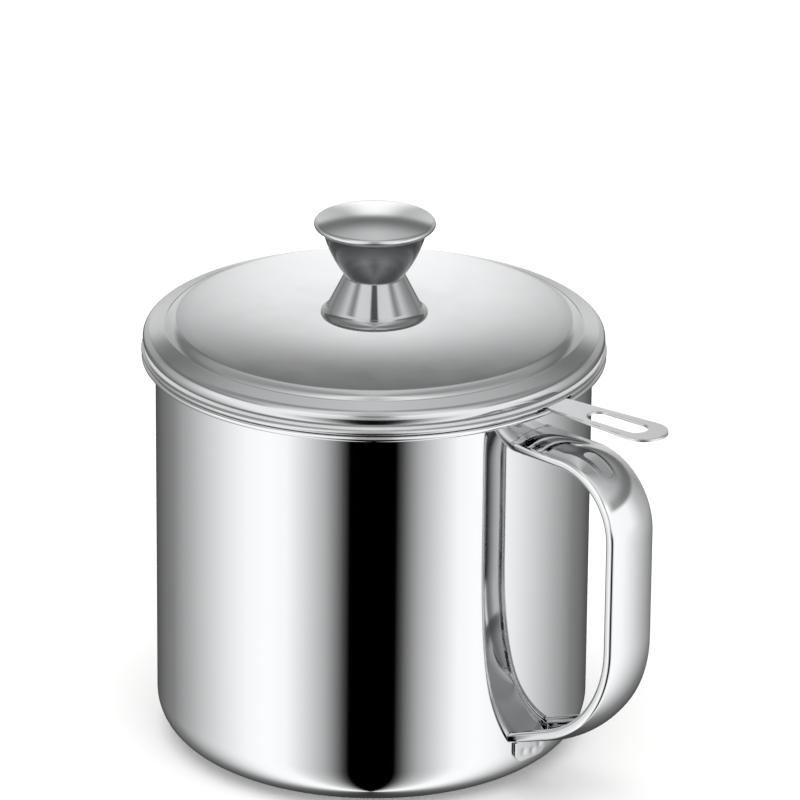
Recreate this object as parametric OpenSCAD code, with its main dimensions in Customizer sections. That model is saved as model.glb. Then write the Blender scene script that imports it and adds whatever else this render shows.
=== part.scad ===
// Stainless steel grease container: a straight-sided pot with a strap handle, a drop-in
// pan strainer with a hanging tab, and a domed lid with a spun knob.
// Millimetres, +Z up. The origin is the centre of the pot's flat bottom, and the handle
// stands out along +X. The lid and the strainer are drawn seated.

/* [Pot] */
// Outside diameter of the pot's wall
pot_d = 140; // [110:1:180]
// Height from the table to the top of the rim
pot_h = 130.7; // [100:0.1:180]
// Thickness of the pot's sheet
pot_wall = 0.6; // [0.4:0.1:1]
// Outside radius of the rounded bottom corner
pot_corner_r = 13.8; // [8:0.1:22]
// How far the hemmed rim stands out from the wall
rim_reach = 4.4; // [4:0.1:7]
// Height of the rim's hem
rim_hem_h = 2; // [1.6:0.1:2.4]
// Slope of the flare between the wall and the hem, in degrees
rim_slope = 14; // [5:1:25]
// Radius of the bend between the wall and the flare
rim_bend_r = 1.6; // [1:0.1:2.4]

/* [Handle] */
// How far the strap's outer face stands out from the pot's wall
handle_reach = 43.7; // [40:0.1:60]
// Width of the strap
strap_w = 19.6; // [16:0.1:23]
// Depth of the strap from its crown to its curled edges
strap_depth = 5; // [4.6:0.1:6]
// Thickness of the strap's sheet
strap_t = 1; // [0.8:0.1:1.3]
// Outside radius of the curl along each edge
strap_curl_r = 1.4; // [1.2:0.1:1.7]
// Slope of the crown where it meets the curl, in degrees
strap_crown_angle = 20; // [8:1:22]
// How far the strap's top face lies below the top of the rim
handle_drop = 7.6; // [6.7:0.1:12]
// Outside radius of the top bend
handle_top_r = 24.8; // [16:0.1:28]
// Height of the strap's lower face at the wall
handle_foot_z = 16; // [13:0.5:26]
// Outside radius of the lower bend
handle_low_r = 42.8; // [30:0.1:46]
// Slope of the strap where it returns to the wall, in degrees
handle_low_slope = 21; // [15:1:30]
// Height of the upper weld tab
weld_tab_top_h = 7; // [5.5:0.5:10]
// Height of the lower weld tab
weld_tab_low_h = 6; // [4:0.5:8]
// Width of the weld tabs
weld_tab_w = 14.4; // [10:0.1:16]

/* [Strainer] */
// Thickness of the strainer's sheet
pan_wall = 0.6; // [0.4:0.1:0.8]
// Depth of the pan below the top of its flange
pan_depth = 27; // [24:0.5:40]
// Depth at which the straight wall ends
pan_straight = 13; // [9:0.5:15]
// Outside radius of the pan's knuckle, below the straight wall
pan_knuckle_r = 10; // [7:0.5:12]
// Slope of the pan where the knuckle meets the dished floor, in degrees
pan_break = 55; // [50:1:60]
// How far the flange stands out beyond the pot's rim
flange_over = 0.1; // [0:0.1:1]
// Height of the hem along the flange's edge
flange_hem_h = 1.7; // [1.5:0.1:2]
// Inside radius of the bend under the flange
flange_bend_r = 1; // [0.6:0.1:1.2]

/* [Sieve] */
// Radius of the opening in the pan's floor
sieve_open_r = 47.4; // [40:0.1:48]
// Width of the floor's lip that carries the disc
sieve_lip = 2.6; // [1.8:0.1:2.8]
// Thickness of the sieve disc
sieve_t = 0.5; // [0.3:0.1:0.8]
// Distance between the rings of holes
sieve_pitch = 4.5; // [3.6:0.1:4.8]
// Diameter of one hole
sieve_hole_d = 2.4; // [1.6:0.1:2.8]
// Innermost ring of holes, counted in pitches from the centre
sieve_first = 2; // [1:1:3]
// Outermost ring of holes, counted in pitches from the centre
sieve_last = 8; // [5:1:8]
// Height of the ring that clamps the disc
clamp_h = 1.2; // [0.8:0.1:1.6]

/* [Hanging tab] */
// Thickness of the tab's sheet
tab_t = 0.8; // [0.6:0.1:1]
// How far the tab reaches beyond the pot's rim
tab_reach = 42.6; // [36:0.1:60]
// Direction of the tab, turned from the handle, in degrees
tab_angle = 3.7; // [-20:0.1:20]
// Width of the tab across its round end
tab_w = 15.6; // [13:0.1:20]
// Width of the tab's neck at the pan
tab_neck_w = 9; // [7:0.5:12]
// Width of the hanging slot
slot_w = 8; // [5:0.5:9]
// Length of the hanging slot
slot_l = 22; // [14:0.5:24]
// Metal left between the slot and the tab's end
slot_margin = 7; // [4:0.5:12]
// Width of the pad on the pan's wall
pad_w = 20.5; // [16:0.5:26]
// Height of the pad's straight sides
pad_side_h = 5.3; // [3:0.1:6]
// Height of the cut corners below the pad's straight sides
pad_corner_h = 2.3; // [1:0.1:3]
// Depth of the pad's lower edge below the top of the flange
pad_depth = 18.6; // [16:0.1:21]
// How much larger the tab's bend is than the bend under the flange
tab_bend_more = 0.3; // [0.2:0.05:0.6]

/* [Lid] */
// Thickness of the lid's sheet
lid_wall = 0.6; // [0.4:0.1:0.8]
// Radius of the crease round the dome
dome_r = 67.1; // [50:0.1:70]
// Rise of the dome above that crease
dome_rise = 3.4; // [2.8:0.1:6]
// Slope of the dome's crown where it meets the shoulder, in degrees
dome_crown_slope = 3; // [1:0.5:6]
// Width of the flat seat left round the knob's foot
dome_seat_margin = 0.9; // [0.5:0.1:2]
// Radius of the dome's rounded shoulder
dome_shoulder_r = 6; // [4:0.5:7]
// Slope of the shoulder at the crease, in degrees
dome_shoulder_slope = 50; // [40:1:55]
// How far the lid's rolled edge stays inside the pot's rim
lid_inset = 0.4; // [0:0.1:1.5]
// Radius of the lid's rolled edge
lid_edge_r = 3.05; // [2.8:0.05:3.4]
// Depth of the rolled edge's lowest face below the crease
lid_edge_drop = 7; // [6.8:0.05:8]
// Angle round the rolled edge at which the cover's cone meets it, in degrees
lid_edge_start = 66; // [50:1:80]
// Width of the flat lip under the rolled edge
lid_lip = 1.7; // [1:0.1:1.8]
// Depth of the skirt's lower edge below the crease
skirt_drop = 15.2; // [13.5:0.1:22]
// Outside radius of the bend between the skirt's wall and its flange
skirt_bend_r = 1; // [0.8:0.1:1.5]
// Radius of the skirt's inward curl
skirt_curl_r = 3; // [2:0.5:4]
// Width of the flat edge that ends the curl
skirt_lip = 1.2; // [0.8:0.1:2]
// Thickness of the skirt's sheet
skirt_wall = 0.5; // [0.4:0.1:0.6]

/* [Knob] */
// Height of the whole knob
knob_h = 34; // [31:0.5:44]
// Radius of the knob's foot
knob_foot_r = 17.1; // [15:0.1:17.6]
// Radius of the cone above the foot's lip
knob_cone_r = 14.7; // [13:0.1:14.9]
// Height of the foot's straight edge
knob_foot_h = 0.8; // [0.5:0.1:1.2]
// Step between the foot's edge and its flared lip
knob_foot_step = 0.4; // [0.2:0.1:0.6]
// Height of the foot's flared lip
knob_lip_h = 3.4; // [2.5:0.1:4]
// How far the flared lip hollows in from a straight cone
knob_lip_hollow = 0.35; // [0.2:0.05:0.5]
// Radius of the knob's waist
knob_waist_r = 9.7; // [9:0.1:12]
// Height of the waist
knob_waist_z = 13.3; // [11:0.1:15]
// Step inwards from the lower cone to the upper bowl at the waist
knob_waist_step = 0.4; // [0.2:0.1:0.8]
// Radius of the upper bowl at its rim
knob_bowl_r = 16.8; // [14.5:0.1:17.5]
// How far the upper bowl's side bulges from a straight cone
knob_bulge = 1; // [0.4:0.1:2]
// Outside radius of the cap
knob_cap_r = 19.4; // [18.8:0.1:22]
// Thickness of the cap's rolled edge
knob_cap_edge = 2.4; // [2:0.1:2.8]
// Rise of the cap's dome above its rolled edge
knob_cap_rise = 2.3; // [1.5:0.1:3]
// Angle round the rolled edge at which the cap's dome meets it, in degrees
knob_cap_edge_start = 80; // [60:1:85]
// How far the cap reaches in over the bowl's rim
knob_cap_lip = 1.6; // [1:0.1:3]
// Thickness of the knob's sheet
knob_wall = 0.8; // [0.6:0.1:1]

/* [Fastener] */
// Diameter of the screw
screw_d = 5; // [4:0.5:5.5]
// How far the screw reaches above the lid
screw_reach = 16; // [10:0.5:22]
// Diameter of the screw's head
screw_head_d = 9.2; // [8:0.1:11]
// Height of the screw's head
screw_head_h = 2.6; // [2:0.1:3]
// Taper of the head, from its seat to its lower face, on the diameter
screw_head_taper = 1.8; // [1:0.1:2.4]
// Width of the head's cross slots
screw_slot_w = 1.3; // [1:0.1:1.6]
// Length of the head's cross slots
screw_slot_l = 5.5; // [4:0.1:6]
// Depth of the head's cross slots
screw_slot_depth = 1.5; // [1:0.1:1.8]
// Diameter of the washer
washer_d = 13; // [11.5:0.5:18]
// Thickness of the washer
washer_t = 1; // [0.8:0.1:1.4]
// Diameter of the threaded insert
insert_d = 8.4; // [7.5:0.1:9]
// Diameter of the insert's flange
insert_flange_d = 14; // [11:0.5:16]
// Thickness of the insert's flange
insert_flange_t = 1.5; // [1:0.1:2]
// Height of the insert above its flange
insert_top_h = 8; // [4:0.5:10]

/* [Fits] */
// Gap between faces that rest on each other but lift apart
seat_gap = 0.2; // [0.1:0.05:0.3]
// Gap between the tab's pad and the inside of the pot
pad_gap = 0.7; // [0.5:0.1:1.5]
// Gap between the lid's skirt and the inside of the pan
skirt_gap = 0.6; // [0.4:0.1:1.2]
// Gap at each side of the tab where the flange's hem is notched for it
notch_gap = 0.6; // [0.3:0.1:1.5]
// Gap between the sieve disc and the start of the pan's dished floor
disc_gap = 0.2; // [0.1:0.05:0.4]
// Gap round a screw or an insert in its hole
hole_gap = 0.2; // [0.1:0.05:0.3]
// Gap between the screw and the bore of its insert
thread_gap = 0.05; // [0.03:0.01:0.08]

/* [Hidden] */

STEEL_MIRROR = "#d9dcdf";
STEEL_SATIN = "#c9cbcd";
STEEL_DARK = "#8d9093";

$fn = 96;
ARC_STEP = 7.5;  // degrees between the points of a round stretch
eps = 0.01;

// Pot
pot_r = pot_d / 2;
rim_r = pot_r + rim_reach;
handle_top_z = pot_h - handle_drop;
hem_end = -100;  // where the rim's hem ends under it, in degrees

// Strainer
flange_r = rim_r + flange_over;
flange_top = pot_h + seat_gap + flange_hem_h;
flange_under = flange_top - pan_wall;
pan_r = pot_r - pot_wall - pad_gap - tab_t;
pan_floor = flange_top - pan_depth;
knuckle_z = flange_top - pan_straight;
floor_drop = knuckle_z - pan_knuckle_r * cos(pan_break) - pan_floor;
floor_r = floor_drop / (1 - cos(pan_break));
sieve_flat_r = pan_r - pan_knuckle_r * (1 - sin(pan_break)) - floor_r * sin(pan_break);
sieve_seat = pan_floor + pan_wall;
sieve_inner_r = min(sieve_open_r, sieve_flat_r - disc_gap - sieve_lip);
sieve_disc_r = sieve_inner_r + sieve_lip;

// Tab
tab_top = flange_under;
tab_end_r = rim_r + tab_reach;
tab_bend_r = flange_bend_r + tab_bend_more;
pad_bottom = flange_top - pad_depth;

// Lid
crease_z = flange_top + seat_gap + lid_edge_drop;
lid_edge_c = [rim_r - lid_inset - lid_edge_r, crease_z - lid_edge_drop + lid_edge_r];
skirt_r = pan_r - pan_wall - skirt_gap;
skirt_top = crease_z - lid_edge_drop + lid_wall;
skirt_bottom = crease_z - skirt_drop;
lid_top = crease_z + dome_rise;
lid_under = lid_top - lid_wall;

// Knob
knob_seat = lid_top;
waist_z = knob_seat + knob_waist_z;
knob_top = knob_seat + knob_h;
cap_edge_z = knob_top - knob_cap_rise - knob_cap_edge / 2;
cap_under = cap_edge_z - knob_cap_edge / 2;
insert_hole_r = insert_d / 2 + hole_gap;
screw_hole_r = screw_d / 2 + hole_gap;
insert_seat = waist_z + knob_wall;
insert_top = insert_seat + insert_flange_t + insert_top_h;

// Points of an arc about c, from angle a to angle b.
function arc(c, r, a, b) =
    let (n = max(2, ceil(abs(b - a) / ARC_STEP)))
    [for (i = [0:n]) let (t = a + (b - a) * i / n) [c.x + r * cos(t), c.y + r * sin(t)]];

// Points of an arc from p to q that bulges by h to the right of the way from p to q.
function bulge(p, q, h) =
    let (
        chord = norm(q - p),
        r = (chord * chord / 4 + h * h) / (2 * h),
        along = (q - p) / chord,
        right = [along.y, -along.x],
        c = (p + q) / 2 - right * (r - h),
        a = atan2(p.y - c.y, p.x - c.x),
        b = atan2(q.y - c.y, q.x - c.x)
    ) arc(c, r, a, b);

function reversed(p) = [for (i = [len(p) - 1:-1:0]) p[i]];

function left_of(v) = [-v.y, v.x] / norm(v);

// A line of points moved d to its left, with mitred corners. Where it starts on the axis
// it stays there.
function beside(p, d) = [
    for (i = [0:len(p) - 1])
        let (
            before = i == 0 ? p[1] - p[0] : p[i] - p[i - 1],
            after = i == len(p) - 1 ? before : p[i + 1] - p[i],
            m = left_of(before) + left_of(after),
            q = p[i] + m * 2 * d / (m * m)
        ) p[i].x == 0 ? [0, q.y] : q
];

// A sheet of thickness t to the left of its face line, or to the right where t is negative.
module sheet(face, t) {
    polygon(concat(face, reversed(beside(face, t))));
}

module spun(face, t) {
    rotate_extrude() sheet(face, t);
}

// --- Pot ---------------------------------------------------------------------------

// Outside of the pot from the bottom's centre to the end of the hem under the rim.
function pot_face() =
    let (
        hem_r = rim_hem_h / 2 - pot_wall,
        hem_c = [rim_r - rim_hem_h / 2, pot_h - rim_hem_h / 2],
        hem_in = hem_c + hem_r * [-sin(rim_slope), cos(rim_slope)],
        bend_x = pot_r + rim_bend_r,
        turn = 90 - rim_slope,
        bend_end = [bend_x - rim_bend_r * cos(turn), rim_bend_r * sin(turn)],
        bend_z = hem_in.y - (hem_in.x - bend_end.x) * tan(rim_slope) - bend_end.y
    )
    concat(
        [[0, 0]],
        arc([pot_r - pot_corner_r, pot_corner_r], pot_corner_r, -90, 0),
        arc([bend_x, bend_z], rim_bend_r, 180, 180 - turn),
        arc(hem_c, hem_r, 90 + rim_slope, hem_end)
    );

module pot_body() {
    color(STEEL_MIRROR) spun(pot_face(), pot_wall);
}

// --- Handle ------------------------------------------------------------------------

// Outer face of half the strap's section, from the crown to the curled edge.
// x is across the strap and y is outwards from its crown.
function strap_half_face() =
    let (
        half = strap_w / 2 - strap_curl_r,
        crown_r = strap_curl_r + half / sin(strap_crown_angle),
        shoulder_y = -crown_r + (crown_r - strap_curl_r) * cos(strap_crown_angle),
        curl_y = -strap_depth + strap_curl_r
    )
    concat(
        arc([0, -crown_r], crown_r, 90, 90 - strap_crown_angle),
        arc([half, shoulder_y], strap_curl_r, 90 - strap_crown_angle, 0),
        arc([half, curl_y], strap_curl_r, 0, -90),
        [[half - strap_curl_r / 2, -strap_depth]]
    );

function strap_face() =
    let (right = strap_half_face())
    concat(
        [for (i = [len(right) - 1:-1:1]) [-right[i].x, right[i].y]],
        right
    );

module strap_section() {
    sheet(strap_face(), -strap_t);
}

// A straight stretch of strap from p, running at a slope of a degrees above +X, with its
// outer face to the left of that way.
module strap_run(p, a, length) {
    translate([p.x, 0, p.y])
        rotate([0, -a, 0])
            rotate([90, 0, 90])
                linear_extrude(length) strap_section();
}

// A bend of the strap about c, from its outermost point through turn degrees, upwards or,
// where turn is negative, downwards.
module strap_bend(c, r, turn) {
    translate([c.x, 0, c.y])
        rotate([turn > 0 ? 90 : -90, 0, 0])
            rotate_extrude(angle = abs(turn))
                translate([r, 0]) rotate(-90) strap_section();
}

// A plate of sheet that hugs the wall, with its two lower corners rounded.
module weld_tab(top_z, h) {
    corner = weld_tab_w / 4;
    intersection() {
        difference() {
            cylinder(h = pot_h, r = pot_r + strap_t);
            translate([0, 0, -eps]) cylinder(h = pot_h + 2 * eps, r = pot_r);
        }
        translate([0, 0, top_z - h]) rotate([90, 0, 90]) linear_extrude(pot_d) union() {
            translate([-weld_tab_w / 2, corner]) square([weld_tab_w, h - corner]);
            translate([-weld_tab_w / 2 + corner, 0]) square([weld_tab_w - 2 * corner, h]);
            for (side = [-1, 1])
                translate([side * (weld_tab_w / 2 - corner), corner]) circle(corner);
        }
    }
}

module pot_handle() {
    x_out = pot_r + handle_reach;
    top_c = [x_out - handle_top_r, handle_top_z - handle_top_r];
    slope = handle_low_slope;
    // Height of the lower bend's centre above the strap's lower end, where all three
    // stretches are tangent, to a hundredth of a millimetre.
    low_rise = round(100 * (handle_reach * sin(slope) + handle_low_r * (1 - sin(slope)))
                     / cos(slope)) / 100;
    low_c = [x_out - handle_low_r, handle_foot_z + low_rise];
    low_end = low_c + handle_low_r * [sin(slope), -cos(slope)];
    low_run = (low_end.x - pot_r) / cos(slope) + strap_w;
    overlap = 0.02;
    color(STEEL_MIRROR) {
        difference() {
            union() {
                strap_run([pot_r - strap_w / 2, handle_top_z], 0,
                          top_c.x - pot_r + strap_w / 2);
                strap_bend(top_c, handle_top_r, 90);
                strap_run([x_out, top_c.y], -90, top_c.y - low_c.y);
                strap_bend(low_c, handle_low_r, slope - 90);
                strap_run(low_end - overlap * [-cos(slope), -sin(slope)], slope - 180, low_run);
            }
            translate([0, 0, -eps]) cylinder(h = pot_h, r = pot_r);
        }
        weld_tab(handle_top_z - strap_t / 2, weld_tab_top_h);
        weld_tab(handle_foot_z + strap_t, weld_tab_low_h + strap_t);
    }
}

// --- Strainer ----------------------------------------------------------------------

// Outside of the pan from its floor's opening to the end of the hem under the flange.
function pan_face() =
    let (
        hem_r = flange_hem_h / 2 - pan_wall,
        hem_c = [flange_r - flange_hem_h / 2, flange_top - flange_hem_h / 2],
        floor_c = [sieve_flat_r, pan_floor + floor_r]
    )
    concat(
        [[sieve_inner_r, pan_floor]],
        arc(floor_c, floor_r, -90, pan_break - 90),
        arc([pan_r - pan_knuckle_r, knuckle_z], pan_knuckle_r, pan_break - 90, 0),
        arc([pan_r + flange_bend_r, flange_under - flange_bend_r], flange_bend_r, 180, 90),
        arc(hem_c, hem_r, 90, -90),
        [[hem_c.x - flange_hem_h / 2, hem_c.y - hem_r]]
    );

module strainer_bowl() {
    notch_w = tab_w + 2 * notch_gap;
    color(STEEL_SATIN) difference() {
        spun(pan_face(), pan_wall);
        rotate(tab_angle)
            translate([pan_r, -notch_w / 2, flange_under - flange_hem_h])
                cube([flange_r - pan_r + eps, notch_w, flange_hem_h - eps]);
    }
}

module sieve_disc() {
    color(STEEL_DARK) translate([0, 0, sieve_seat]) linear_extrude(sieve_t) difference() {
        circle(sieve_disc_r);
        for (ring = [sieve_first:sieve_last], i = [0:6 * ring - 1])
            rotate(60 * i / ring)
                translate([ring * sieve_pitch, 0]) circle(d = sieve_hole_d, $fn = 24);
    }
}

module sieve_clamp_ring() {
    round_r = min(clamp_h, sieve_lip) / 3;
    color(STEEL_MIRROR) translate([0, 0, sieve_seat + sieve_t]) rotate_extrude() polygon(concat(
        [[sieve_inner_r, 0], [sieve_disc_r, 0]],
        arc([sieve_disc_r - round_r, clamp_h - round_r], round_r, 0, 90),
        arc([sieve_inner_r + round_r, clamp_h - round_r], round_r, 90, 180)
    ));
}

// Outline of the tab seen from above, with the pan's axis at the origin.
module tab_plan() {
    end_x = tab_end_r - tab_w / 2;
    slot_out = tab_end_r - slot_margin - slot_w / 2;
    slot_in = slot_out - slot_l + slot_w;
    difference() {
        union() {
            polygon([
                [pan_r - 2, -tab_neck_w / 2], [end_x, -tab_w / 2],
                [end_x, tab_w / 2], [pan_r - 2, tab_neck_w / 2]
            ]);
            translate([end_x, 0]) circle(d = tab_w);
        }
        for (x = [slot_in, slot_out]) translate([x, 0]) circle(d = slot_w);
        translate([slot_in, -slot_w / 2]) square([slot_out - slot_in, slot_w]);
    }
}

// Outline of the pad seen along the tab, with height above the pad's lower edge as y.
module pad_outline() {
    half = pad_w / 2;
    neck = tab_neck_w / 2;
    side_top = pad_corner_h + pad_side_h;
    polygon([
        [-half + pad_corner_h, 0], [half - pad_corner_h, 0], [half, pad_corner_h],
        [half, side_top], [neck, side_top + half - neck], [neck, pad_depth],
        [-neck, pad_depth], [-neck, side_top + half - neck], [-half, side_top],
        [-half, pad_corner_h]
    ]);
}

module strainer_tab() {
    bend_c = [pan_r + tab_bend_r, tab_top - tab_bend_r];
    pad_face = concat(
        [[pan_r, pad_bottom]],
        arc(bend_c, tab_bend_r, 180, 90),
        [[tab_end_r + 1, tab_top]]
    );
    color(STEEL_SATIN) rotate(tab_angle) intersection() {
        spun(pad_face, -tab_t);
        union() {
            translate([0, 0, pad_bottom])
                rotate([90, 0, 90]) linear_extrude(bend_c.x) pad_outline();
            translate([bend_c.x - eps, 0, 0]) intersection() {
                translate([-bend_c.x + eps, 0, pad_bottom]) linear_extrude(pad_depth) tab_plan();
                translate([0, -tab_w, pad_bottom]) cube([tab_end_r, 2 * tab_w, pad_depth]);
            }
        }
    }
}

// --- Lid ---------------------------------------------------------------------------

// Top of the lid from the screw's hole to the end of the rolled edge.
function lid_face() =
    let (
        slope = dome_shoulder_slope,
        shoulder_c = [
            dome_r - dome_shoulder_r * sin(slope),
            crease_z - dome_shoulder_r * cos(slope)
        ],
        shoulder = arc(shoulder_c, dome_shoulder_r, 90 - dome_crown_slope, 90 - slope),
        // The crown is one arc, level where it leaves the knob's flat seat.
        seat_r = knob_foot_r + dome_seat_margin,
        run = shoulder[0].x - seat_r,
        drop = lid_top - shoulder[0].y,
        crown_r = (run * run + drop * drop) / (2 * drop),
        crown = arc([seat_r, lid_top - crown_r], crown_r, 90, 90 - asin(run / crown_r))
    )
    concat(
        [[screw_hole_r, lid_top]],
        [for (i = [0:len(crown) - 2]) crown[i]],
        shoulder,
        arc(lid_edge_c, lid_edge_r, lid_edge_start, -90),
        [[lid_edge_c.x - lid_lip, crease_z - lid_edge_drop]]
    );

module lid_shell() {
    color(STEEL_SATIN) spun(lid_face(), -lid_wall);
}

// Underside of the skirt ring's flange, then the outside of its wall.
function skirt_face() =
    let (curl_c = [skirt_r - skirt_curl_r, skirt_bottom + skirt_curl_r])
    concat(
        [[lid_edge_c.x, skirt_top]],
        arc([skirt_r + skirt_bend_r, skirt_top - skirt_bend_r], skirt_bend_r, 90, 180),
        arc(curl_c, skirt_curl_r, 0, -90),
        [[curl_c.x - skirt_lip, skirt_bottom]]
    );

module lid_skirt() {
    color(STEEL_SATIN) spun(skirt_face(), -skirt_wall);
}

// --- Knob --------------------------------------------------------------------------

module knob_base() {
    face = concat(
        [[knob_foot_r, knob_seat], [knob_foot_r, knob_seat + knob_foot_h]],
        reversed(bulge(
            [knob_cone_r, knob_seat + knob_lip_h],
            [knob_foot_r - knob_foot_step, knob_seat + knob_foot_h + knob_foot_step],
            knob_lip_hollow
        )),
        [[knob_waist_r, waist_z], [insert_hole_r, waist_z]]
    );
    color(STEEL_DARK) spun(face, knob_wall);
}

module knob_body() {
    face = concat(
        [[insert_hole_r, waist_z]],
        bulge([knob_waist_r - knob_waist_step, waist_z], [knob_bowl_r, cap_under], knob_bulge)
    );
    inner = beside(face, knob_wall);
    last = len(inner) - 1;
    way = inner[last] - inner[last - 1];
    // The rim is trimmed level, so that the cap rests flat on it.
    rim_in = inner[last] + way * (cap_under - inner[last].y) / way.y;
    color(STEEL_DARK) rotate_extrude() polygon(concat(
        face, [rim_in], [for (i = [last - 1:-1:0]) inner[i]]
    ));
}

module knob_cap() {
    edge_r = knob_cap_edge / 2;
    edge_c = [knob_cap_r - edge_r, cap_edge_z];
    dome_edge = edge_c + edge_r * [cos(knob_cap_edge_start), sin(knob_cap_edge_start)];
    // The cap's dome is one arc, level at the axis.
    dome_r = (dome_edge.x ^ 2 + (knob_top - dome_edge.y) ^ 2) / (2 * (knob_top - dome_edge.y));
    dome_half = asin(dome_edge.x / dome_r);
    face = concat(
        arc([0, knob_top - dome_r], dome_r, 90, 90 - dome_half),
        arc(edge_c, edge_r, knob_cap_edge_start, -90),
        [[knob_bowl_r - knob_cap_lip, cap_under]]
    );
    color(STEEL_SATIN) spun(face, -knob_wall);
}

// --- Fastener ----------------------------------------------------------------------

module knob_insert() {
    color(STEEL_DARK) difference() {
        union() {
            translate([0, 0, knob_seat + seat_gap])
                cylinder(h = insert_top - knob_seat - seat_gap, d = insert_d);
            translate([0, 0, insert_seat]) cylinder(h = insert_flange_t, d = insert_flange_d);
        }
        translate([0, 0, knob_seat]) cylinder(h = knob_h, d = screw_d + 2 * thread_gap);
    }
}

module knob_washer() {
    color(STEEL_MIRROR) translate([0, 0, lid_under - washer_t]) difference() {
        cylinder(h = washer_t, d = washer_d);
        translate([0, 0, -eps]) cylinder(h = washer_t + 2 * eps, r = screw_hole_r);
    }
}

module knob_screw() {
    head_top = lid_under - washer_t;
    color(STEEL_DARK) difference() {
        union() {
            translate([0, 0, head_top]) cylinder(h = knob_seat + screw_reach - head_top, d = screw_d);
            translate([0, 0, head_top - screw_head_h]) cylinder(
                h = screw_head_h, d1 = screw_head_d - screw_head_taper, d2 = screw_head_d);
        }
        for (turn = [0, 90]) rotate(turn)
            translate([-screw_slot_l / 2, -screw_slot_w / 2, head_top - screw_head_h - eps])
                cube([screw_slot_l, screw_slot_w, screw_slot_depth + eps]);
    }
}

pot_body();
pot_handle();
strainer_bowl();
sieve_disc();
sieve_clamp_ring();
strainer_tab();
lid_shell();
lid_skirt();
knob_base();
knob_body();
knob_cap();
knob_insert();
knob_screw();
knob_washer();
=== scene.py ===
"""The looks of a stainless steel grease container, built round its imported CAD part.

A straight-sided pot with a bent strap handle, a drop-in pan strainer with a hanging tab, and a
domed lid with a spun knob. Every piece is turned, bent or punched from sheet steel, so most of
them start here as one face line, which is spun or swept and then given its sheet's thickness.
Sizes are in millimetres and become metres where a mesh is made.
"""
import logging
import math
from dataclasses import dataclass
from enum import Enum
from typing import Any, Callable, Optional, Sequence

import bmesh
import bpy
from mathutils import Matrix, Quaternion, Vector


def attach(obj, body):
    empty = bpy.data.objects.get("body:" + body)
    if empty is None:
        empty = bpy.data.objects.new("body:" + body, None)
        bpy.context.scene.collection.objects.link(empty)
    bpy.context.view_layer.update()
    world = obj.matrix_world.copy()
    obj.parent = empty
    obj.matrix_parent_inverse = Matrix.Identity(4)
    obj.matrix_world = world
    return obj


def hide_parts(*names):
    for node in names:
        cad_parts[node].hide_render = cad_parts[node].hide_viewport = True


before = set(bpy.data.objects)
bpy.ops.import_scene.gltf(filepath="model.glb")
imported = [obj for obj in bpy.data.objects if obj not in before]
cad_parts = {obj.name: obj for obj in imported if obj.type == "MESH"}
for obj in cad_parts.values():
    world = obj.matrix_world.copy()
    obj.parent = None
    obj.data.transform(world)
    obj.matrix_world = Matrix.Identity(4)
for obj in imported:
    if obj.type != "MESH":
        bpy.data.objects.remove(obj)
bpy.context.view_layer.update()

LOG = logging.getLogger("grease_container")

MM = 0.001           # one millimetre in Blender's metres
ROUND_STEPS = 256    # faces round a large turned piece
SMALL_STEPS = 128    # faces round a small turned piece
ARC_STEP = 6.0       # degrees between the points of an arc in a face line
SUPPORT = 0.35       # mm from a bend to the line that keeps the flat beside it flat
WELD = 1e-7          # metres within which two points of a mesh are one
ON_PLANE = 1e-8      # metres within which a point lies on a cutting plane
SHARP_ANGLE = 38.0   # degrees past which an edge is shaded sharp
CUT_ANGLE = 55.0     # degrees past which an edge of a sheet is a cut one
SOFT_CUT = 0.15      # mm radius of a softened cut edge
FACING_UP = 0.8      # height of its normal past which a face counts as facing up
CLOUD = 9.0          # mm across the slow changes in a polish

Mesh = bmesh.types.BMesh
Vert, Edge = bmesh.types.BMVert, bmesh.types.BMEdge
Pairs = tuple[tuple[float, float], ...]


class Body(Enum):
    """The loose pieces of the container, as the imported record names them."""

    POT = "pot"
    STRAINER = "strainer"
    LID = "lid"


class Slot(Enum):
    """The record's material slots."""

    MIRROR = "mirror_steel"
    SATIN = "satin_steel"
    SIEVE = "sieve_steel"
    KNOB = "knob_steel"
    FASTENER = "fastener_steel"


def sin_cos(degrees: float) -> tuple[float, float]:
    """Gives the sine and the cosine of an angle in degrees."""
    return math.sin(math.radians(degrees)), math.cos(math.radians(degrees))


def only(kind: type, parts: Sequence[Any]) -> list[Any]:
    """Picks the vertices, edges or faces out of what an operator made."""
    return [part for part in parts if isinstance(part, kind)]


def add_object(name: str, data: bpy.types.ID) -> bpy.types.Object:
    """Makes an object of a mesh, camera or light, and links it into the scene."""
    made = bpy.data.objects.new(name, data)
    bpy.context.scene.collection.objects.link(made)
    return made


def add_mesh(name: str, mesh: Mesh) -> bpy.types.Object:
    """Makes an object of a working mesh, which is freed."""
    data = bpy.data.meshes.new(name)
    mesh.to_mesh(data)
    mesh.free()
    return add_object(name, data)


# --- Colours and nodes ----------------------------------------------------------------


def linear(colour: str, gain: float = 1.0) -> tuple[float, float, float, float]:
    """Turns an sRGB hex colour to linear light.

    Args:
        colour: The colour, such as "#c8cacc".
        gain: What the light is multiplied by.

    Returns:
        Red, green, blue and an alpha of 1.
    """
    parts = [int(colour[i:i + 2], 16) / 255 for i in (1, 3, 5)]
    light = [p / 12.92 if p <= 0.04045 else ((p + 0.055) / 1.055) ** 2.4 for p in parts]
    return (light[0] * gain, light[1] * gain, light[2] * gain, 1.0)


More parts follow.
